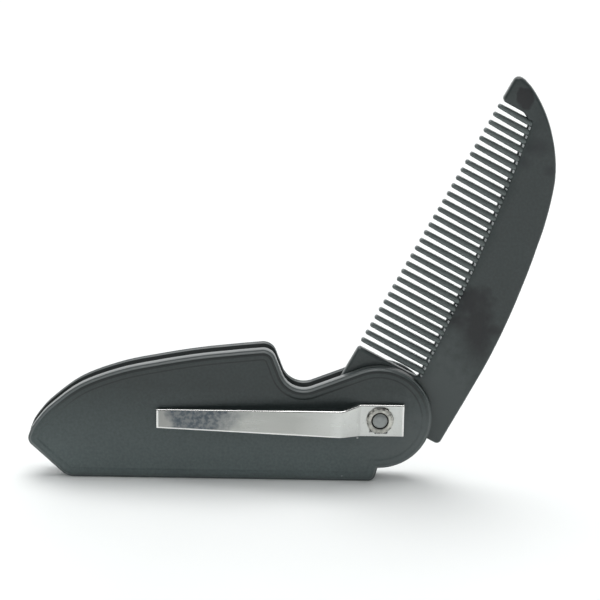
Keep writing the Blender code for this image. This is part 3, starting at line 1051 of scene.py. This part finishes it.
def black_plastic(name, base, pale, rough, wear_and_highlight=0.0, bands=(), patches=(), foot=1.0, slot=0.0):
    """Moulded black plastic: satin, a little wavy, with fine scuffs and pale specks. Its rounded
    edges can carry wear under a painted highlight, bands along them a painted highlight and painted
    shade, its foot painted floor light, and a slot of the given half width painted shade."""
    mat, t, shader = new_material(name)
    coords = t.add("ShaderNodeTexCoord").outputs["Object"]
    place = t.add("ShaderNodeSeparateXYZ", Vector=coords)
    cloud = noise(t, coords, CLOUDS, 4.0)
    color = mix_color(t, spread(t, cloud, 0.35, 0.7, 0.0, 1.0), base, pale)
    # Painted floor light: the near side is painted paler towards its foot.
    if foot != 1.0:
        factor = spread(t, place.outputs["Z"], *FOOT_GLOW_HEIGHT, foot - 1, 0.0)
        near_side = spread(t, place.outputs["Y"], *NEAR_SIDE, 1.0, 0.0)
        factor = t.math("ADD", t.math("MULTIPLY", factor, near_side), 1.0)
        color = t.vector("SCALE", color, Scale=factor)
    mottle = spread(t, noise(t, coords, MOTTLE, 2.0), 0.3, 0.7, *MOTTLE_RANGE)
    color = t.vector("SCALE", color, Scale=mottle)
    specks = t.add("ShaderNodeTexVoronoi", Vector=coords, Scale=SPECKS)
    dust = spread(t, specks.outputs["Distance"], *SPECK_SIZE, SPECK_STRENGTH, 0.0)
    keep = t.math("GREATER_THAN", noise(t, coords, SPECK_FIELDS, 1.0), SPECK_FIELD)
    color = mix_color(t, t.math("MULTIPLY", dust, keep), color, DUST)
    grain = noise(t, coords, GRAIN, 2.0)
    scuff = noise(t, coords, SCUFFS, 3.0, (0.12, 1.0, 1.0))
    roughness = t.math("ADD", spread(t, cloud, 0.3, 0.7, rough - 0.03, rough + 0.04),
                       spread(t, scuff, 0.55, 0.75, 0.0, 0.07))
    # Patches: painted reflections, painted light and specks of dust.
    for center, size, edge, depth, tint in patches:
        share = t.math("MULTIPLY", patch(t, coords, center, size, edge), depth)
        color = mix_color(t, share, color, tint)
    # Painted highlight, with some wear, on the rounded edges.
    if wear_and_highlight:
        normal = t.add("ShaderNodeTexCoord").outputs["Normal"]
        normal = t.add("ShaderNodeSeparateXYZ", Vector=normal)
        # Painted shade under the blade: beyond these places, faces turned to the right lose the
        # painted highlight.
        starts = (x * MM for x in BLADE_SHADE_STARTS)
        beyond = spread(t, place.outputs["X"], *starts, 0.0, BLADE_SHADE_SHARE)
        turned = spread(t, normal.outputs["X"], *BLADE_SHADE_TURN, 0.0, 1.0)
        blade_shade = t.math("MULTIPLY", beyond, turned)
        out_of_blade_shade = t.math("SUBTRACT", 1.0, blade_shade)
        facing = t.math("ABSOLUTE", normal.outputs["Y"])
        edge = t.math("MULTIPLY", spread(t, facing, *WEAR_HIGHLIGHT_STARTS, 0.0, wear_and_highlight),
                      spread(t, facing, *WEAR_HIGHLIGHT_ENDS, 0.0, 1.0))
        color = mix_color(t, t.math("MULTIPLY", edge, out_of_blade_shade), color, WEAR_AND_HIGHLIGHT)
    # Bands: a painted highlight on the lip and painted shade on the step.
    for low, high, strength, height, tint in bands:
        across = t.math("ABSOLUTE", place.outputs["Y"])
        start = spread(t, across, (low - BAND_FEATHER) * MM, low * MM, 0.0, strength)
        stop = spread(t, across, high * MM, (high + BAND_FEATHER) * MM, 1.0, 0.0)
        band = t.math("MULTIPLY", start, stop)
        rise = spread(t, place.outputs["Z"], (height - BAND_RISE) * MM, (height + BAND_RISE) * MM,
                      0.1, 1.0)
        band = t.math("MULTIPLY", band, t.math("MULTIPLY", rise, out_of_blade_shade))
        color = mix_color(t, band, color, tint)
    # Painted shade: the slot, and the wall top under the blade, painted darker.
    if slot:
        across = t.math("ABSOLUTE", place.outputs["Y"])
        depth = spread(t, across, slot * MM + 0.00001, slot * MM + 0.00006, 1.0, 0.0)
        wall_top = spread(t, across, (WALL_TOP - 0.1) * MM, WALL_TOP * MM, 1.0, 0.0)
        depth = t.math("MAXIMUM", depth, t.math("MULTIPLY", wall_top, blade_shade))
        color = mix_color(t, depth, color, SLOT_SHADE)
        t.feed(shader, "Specular_IOR_Level", spread(t, depth, 0.0, 1.0, 0.5, 0.1))
    else:
        shader.inputs["Specular IOR Level"].default_value = 0.5
    waves = noise(t, coords, WAVES, 1.0)
    bump = t.add("ShaderNodeBump", Strength=0.25, Distance=0.00006, Height=grain)
    soft = t.add("ShaderNodeBump", Strength=0.5, Distance=0.0006, Height=waves,
                 Normal=bump.outputs[0])
    t.feed(shader, "Base_Color", color)
    t.feed(shader, "Roughness", roughness)
    t.feed(shader, "Normal", soft.outputs[0])
    return mat


# Colours of the clip's steel, with its painted reflections, highlights and shade
CLIP_DULL = (0.45, 0.455, 0.435)
CLIP_BRIGHT = (0.64, 0.65, 0.63)
CLIP_END_REFLECTION = (0.26, 0.26, 0.25)
CLIP_RAMP_REFLECTION = (0.65, 0.66, 0.64)
CLIP_REFLECTION_AND_TARNISH = (0.095, 0.112, 0.128)
CLIP_PITS = (0.36, 0.36, 0.34)
CLIP_EDGE_HIGHLIGHT = (0.84, 0.84, 0.82)
CLIP_LOW_HIGHLIGHT = (0.92, 0.92, 0.90)
CLIP_CREASE_SHADE = (0.10, 0.10, 0.10)

# Where the clip's painted reflections and highlights change, in metres from its free end: from, to
PAINTED_SHINE_STARTS = (0.036, 0.050)
DARK_END_REFLECTION = (0.002, 0.024)
RAMP_STARTS = (0.0455, 0.0480)
RAMP_ENDS = (0.0505, 0.0530)
DARK_PATCH_STARTS = (0.0018, 0.0052)
DARK_PATCH_ENDS = (0.0155, 0.0230)
DARK_PATCH_SLANT = -0.75
LOW_HIGHLIGHT_WIDTH = (0.00030, 0.00048)
LOW_HIGHLIGHT_ENDS = (0.0462, 0.0490)
TIP_FACE = (0.0002, 0.0005)

# Which faces of the clip get a painted highlight on its edges and painted shade in its crease, by
# the Z of their normal: from, to
EDGES_START = (0.06, 0.28)
CREASE_STARTS = (0.10, 0.22)
CREASE_ENDS = (0.5, 0.66)

# Patterns of the clip and the rivet, in cells for each metre
DARK_PATCH_WANDER = 300.0
DARK_PATCH_CLOUDS = 900.0
STEEL_GRAIN = 900.0
STEEL_PITS = 2200.0
STAINS = 800.0
GRIME = 1100.0


def clip_steel():
    """Sheet steel with a dull grain along the strip; painted reflections darken it towards its free
    end, with a bluish painted dark reflection over somewhat tarnished steel there, painted
    highlights on its edges and painted shade in its crease.
    """
    mat, t, shader = new_material("clip steel")
    coords = t.add("ShaderNodeTexCoord").outputs["Object"]
    place = t.add("ShaderNodeSeparateXYZ", Vector=coords)
    along = t.math("SUBTRACT", place.outputs["X"], (PIVOT.x + CLIP_TIP_X) * MM)
    # Painted reflection: the strip is painted duller towards its free end.
    painted_shine = spread(t, along, *PAINTED_SHINE_STARTS, 0.0, 1.0)
    color = mix_color(t, painted_shine, CLIP_DULL, CLIP_BRIGHT)
    # Painted reflection: darker still at the free end.
    color = mix_color(t, spread(t, along, *DARK_END_REFLECTION, 0.6, 0.0), color, CLIP_END_REFLECTION)
    # Painted reflection: the ramp gets its own colour for how it reflects.
    ramp = t.math("MULTIPLY", spread(t, along, *RAMP_STARTS, 0.0, 1.0),
                  spread(t, along, *RAMP_ENDS, 1.0, 0.0))
    color = mix_color(t, ramp, color, CLIP_RAMP_REFLECTION)
    # A bluish dark patch near the free end: painted reflection over somewhat tarnished steel.
    wander = spread(t, noise(t, coords, DARK_PATCH_WANDER, 3.0), 0.3, 0.7, -0.002, 0.002)
    height = t.math("SUBTRACT", place.outputs["Z"], PIVOT.z * MM)
    slant = t.math("MULTIPLY", height, DARK_PATCH_SLANT)
    edge = t.math("ADD", along, wander)
    reflection_and_tarnish = t.math("MULTIPLY", spread(t, edge, *DARK_PATCH_STARTS, 0.0, 1.0),
                     spread(t, t.math("ADD", edge, slant), *DARK_PATCH_ENDS, 1.0, 0.0))
    cloud = noise(t, coords, DARK_PATCH_CLOUDS, 4.0)
    reflection_and_tarnish = t.math("MULTIPLY", reflection_and_tarnish, spread(t, cloud, 0.38, 0.60, 0.62, 1.0))
    color = mix_color(t, reflection_and_tarnish, color, CLIP_REFLECTION_AND_TARNISH)
    grain = noise(t, coords, STEEL_GRAIN, 3.0, (0.05, 1.0, 1.0))
    pits = noise(t, coords, STEEL_PITS, 2.0)
    color = mix_color(t, spread(t, pits, 0.58, 0.78, 0.0, 0.3), color, CLIP_PITS)
    # Painted highlight on the edges of the strip.
    facing = t.add("ShaderNodeSeparateXYZ",
                   Vector=t.add("ShaderNodeTexCoord").outputs["Normal"])
    face = spread(t, t.math("ABSOLUTE", facing.outputs["Z"]), *EDGES_START, 1.0, 0.0)
    end = spread(t, along, *TIP_FACE, 0.0, 1.0)
    tail = spread(t, place.outputs["X"], (PIVOT.x + CLIP_TAIL_X - 0.5) * MM,
                  (PIVOT.x + CLIP_TAIL_X - 0.3) * MM, 1.0, 0.0)
    face = t.math("MULTIPLY", face, t.math("MULTIPLY", end, tail))
    color = mix_color(t, face, CLIP_EDGE_HIGHLIGHT, color)
    # Painted highlight along the lower edge of the leaf.
    low_edge = t.math("SUBTRACT", (CLIP_LOW_EDGE[0] + PIVOT.z) * MM,
                      t.math("MULTIPLY", along, CLIP_LOW_EDGE[1]))
    low = spread(t, t.math("SUBTRACT", place.outputs["Z"], low_edge), *LOW_HIGHLIGHT_WIDTH, 1.0, 0.0)
    low = t.math("MULTIPLY", low, spread(t, along, *LOW_HIGHLIGHT_ENDS, 1.0, 0.0))
    color = mix_color(t, t.math("MULTIPLY", low, 0.85), color, CLIP_LOW_HIGHLIGHT)
    # Painted shade along the crease below the top edge.
    crease = t.math("MULTIPLY", spread(t, facing.outputs["Z"], *CREASE_STARTS, 0.0, 1.0),
                    spread(t, facing.outputs["Z"], *CREASE_ENDS, 1.0, 0.0))
    color = mix_color(t, t.math("MULTIPLY", crease, 0.7), color, CLIP_CREASE_SHADE)
    roughness = t.math("MULTIPLY", spread(t, grain, 0.3, 0.7, 0.26, 0.38),
                       spread(t, face, 0.0, 1.0, 0.55, 1.0))
    bump = t.add("ShaderNodeBump", Strength=0.25, Distance=0.00003, Height=grain)
    bump = t.add("ShaderNodeBump", Strength=0.25, Distance=0.00003, Height=pits,
                 Normal=bump.outputs[0])
    t.feed(shader, "Base_Color", color)
    t.feed(shader, "Roughness", roughness)
    t.feed(shader, "Normal", bump.outputs[0])
    shader.inputs["Metallic"].default_value = 1.0
    return mat


# Colours of the rivet's steel, with painted shade in its groove, and where they change, in metres
# from its axis: from, to
RIVET_BRIGHT = (0.62, 0.61, 0.56)
RIVET_DULL = (0.30, 0.30, 0.28)
RIVET_CORE = (0.335, 0.35, 0.345)
RIVET_GRIME = (0.07, 0.07, 0.065)
RIVET_GROOVE_SHADE = (0.05, 0.05, 0.045)
CORE_ENDS = (0.00205, 0.00215)
GROOVE_STARTS = (0.00196, 0.00202)
GROOVE_ENDS = (0.00222, 0.00228)
GRIME_STARTS = (0.00295, 0.0033)


def rivet_steel():
    """Duller steel, stained along the splits of the roll, with painted shade in the groove round
    the core.
    """
    mat, t, shader = new_material("rivet steel")
    coords = t.add("ShaderNodeTexCoord").outputs["Object"]
    centre = tuple(-c * MM for c in PIVOT)
    moved = t.vector("ADD", coords, _1=centre)
    radius = t.vector("LENGTH", t.vector("MULTIPLY", moved, _1=(1.0, 0.0, 1.0)))
    core = spread(t, radius, *CORE_ENDS, 1.0, 0.0)
    stain = noise(t, coords, STAINS, 4.0)
    color = mix_color(t, spread(t, stain, 0.4, 0.65, 0.0, 0.6), RIVET_BRIGHT, RIVET_DULL)
    grime = t.math("MULTIPLY", spread(t, radius, *GRIME_STARTS, 0.0, 1.0),
                   spread(t, noise(t, coords, GRIME, 2.0), 0.5, 0.6, 0.0, 0.85))
    color = mix_color(t, grime, color, RIVET_GRIME)
    color = mix_color(t, core, color, RIVET_CORE)
    # Painted shade in the groove round the core.
    groove = t.math("MULTIPLY", spread(t, radius, *GROOVE_STARTS, 0.0, 1.0),
                    spread(t, radius, *GROOVE_ENDS, 1.0, 0.0))
    color = mix_color(t, groove, color, RIVET_GROOVE_SHADE)
    t.feed(shader, "Base_Color", color)
    t.feed(shader, "Roughness", spread(t, stain, 0.3, 0.7, 0.34, 0.55))
    bump = t.add("ShaderNodeBump", Strength=0.5, Distance=0.00008, Height=stain)
    t.feed(shader, "Normal", bump.outputs[0])
    shader.inputs["Metallic"].default_value = 1.0
    return mat


def floor_material():
    """A pale matt floor, a little cloudy."""
    mat, t, shader = new_material("pale floor")
    coords = t.add("ShaderNodeTexCoord").outputs["Object"]
    cloud = noise(t, coords, FLOOR_CLOUDS, 3.0)
    color = mix_color(t, cloud, *FLOOR_COLORS)
    t.feed(shader, "Base_Color", color)
    t.feed(shader, "Roughness", spread(t, cloud, 0.3, 0.7, 0.55, 0.65))
    return mat


def make_floor():
    """A wide flat floor under the comb."""
    bm = bmesh.new()
    bmesh.ops.create_grid(bm, x_segments=8, y_segments=8, size=FLOOR_HALF)
    floor = piece("floor", bm, Matrix.Identity(4), 30)
    floor.data.materials.append(floor_material())


def make_world():
    """A white studio: a wide light overhead and a little behind, pale low behind the comb and
    dim low behind the camera."""
    world = bpy.data.worlds.new("studio")
    world.use_nodes = True
    bpy.context.scene.world = world
    t = Tree(world.node_tree)
    shader = world.node_tree.nodes["Background"]
    direction = t.add("ShaderNodeTexCoord").outputs["Generated"]
    split = t.add("ShaderNodeSeparateXYZ", Vector=direction)
    up = spread(t, split.outputs["Z"], *SKY_STARTS, 0.0, 1.0)
    back = spread(t, split.outputs["Y"], *BACK_STARTS, 0.0, 1.0)
    low = mix_color(t, back, FRONT_LIGHT, BACK_LIGHT)
    color = mix_color(t, up, low, SKY_LIGHT)
    tilt = math.radians(LAMP_BACK_DEG)
    facing = t.vector("DOT_PRODUCT", direction, _1=(0.0, math.sin(tilt), math.cos(tilt)))
    near_edge, far_edge = (math.cos(math.radians(d)) for d in LAMP_EDGE_DEG)
    lamp = spread(t, facing, far_edge, near_edge, 0.0, 1.0)
    color = mix_color(t, lamp, color, (LAMP_LIGHT,) * 3)
    t.feed(shader, "Color", color)
    shader.inputs["Strength"].default_value = STUDIO_STRENGTH


def make_camera():
    """The camera at the photograph's place and angle."""
    yaw = math.radians(CAMERA_YAW_DEG)
    el = math.radians(CAMERA_ELEVATION_DEG)
    roll = math.radians(CAMERA_ROLL_DEG)
    ahead = Vector((math.sin(yaw) * math.cos(el), math.cos(yaw) * math.cos(el), -math.sin(el)))
    right = Vector((math.cos(yaw), -math.sin(yaw), 0))
    up = right.cross(ahead)
    tilted_right = right * math.cos(roll) + up * math.sin(roll)
    tilted_up = up * math.cos(roll) - right * math.sin(roll)
    data = bpy.data.cameras.new("camera")
    data.lens = CAMERA_LENS
    data.sensor_width = SENSOR_WIDTH
    data.clip_start, data.clip_end = VIEW_RANGE
    camera = bpy.data.objects.new("camera", data)
    turn = Matrix((tilted_right, tilted_up, -ahead)).transposed().to_4x4()
    camera.matrix_world = Matrix.Translation(CAMERA_PLACE) @ turn
    bpy.context.scene.collection.objects.link(camera)
    bpy.context.scene.camera = camera


def main():
    """Camera, light and floor first, then the materials, the pieces and what each stands for."""
    make_camera()
    make_world()
    make_floor()
    case_black = black_plastic("case plastic", *CASE_BLACK, CASE_ROUGH, wear_and_highlight=CASE_WEAR_AND_HIGHLIGHT,
                               bands=CASE_BANDS, patches=CASE_PATCHES, foot=CASE_FOOT_GLOW,
                               slot=SLOT_MOUTH / 2)
    blade_black = black_plastic("blade plastic", *BLADE_BLACK, BLADE_ROUGH, patches=BLADE_REFLECTIONS)
    # The teeth are the blade's plastic painted lighter: painted light.
    teeth_painted_lighter = black_plastic("teeth plastic", *TEETH_PAINTED_LIGHTER, BLADE_ROUGH)
    # The gap ends' painted highlight.
    gap_highlight = black_plastic("rubbed plastic", *GAP_END_HIGHLIGHT, GAP_HIGHLIGHT_ROUGH)
    case = make_case()
    blade = make_blade()
    teeth = make_teeth(teeth_painted_lighter)
    clip = make_clip()
    rivet = make_rivet()
    case.data.materials.append(case_black)
    blade.data.materials.append(blade_black)
    blade.data.materials.append(gap_highlight)
    paint_gap_end_highlights(blade, 1)
    clip.data.materials.append(clip_steel())
    rivet.data.materials.append(rivet_steel())
    for obj, body, slot in (
            (case, "case", "case_plastic"), (clip, "case", "clip_steel"),
            (rivet, "case", "rivet_steel"), (blade, "blade", "blade_plastic"),
            (teeth, "blade", "blade_plastic")):
        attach(obj, body)
    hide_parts("case")
    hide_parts("clip")
    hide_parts("rivet")
    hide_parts("blade")


main()
bpy.context.scene.view_settings.view_transform = "Standard"
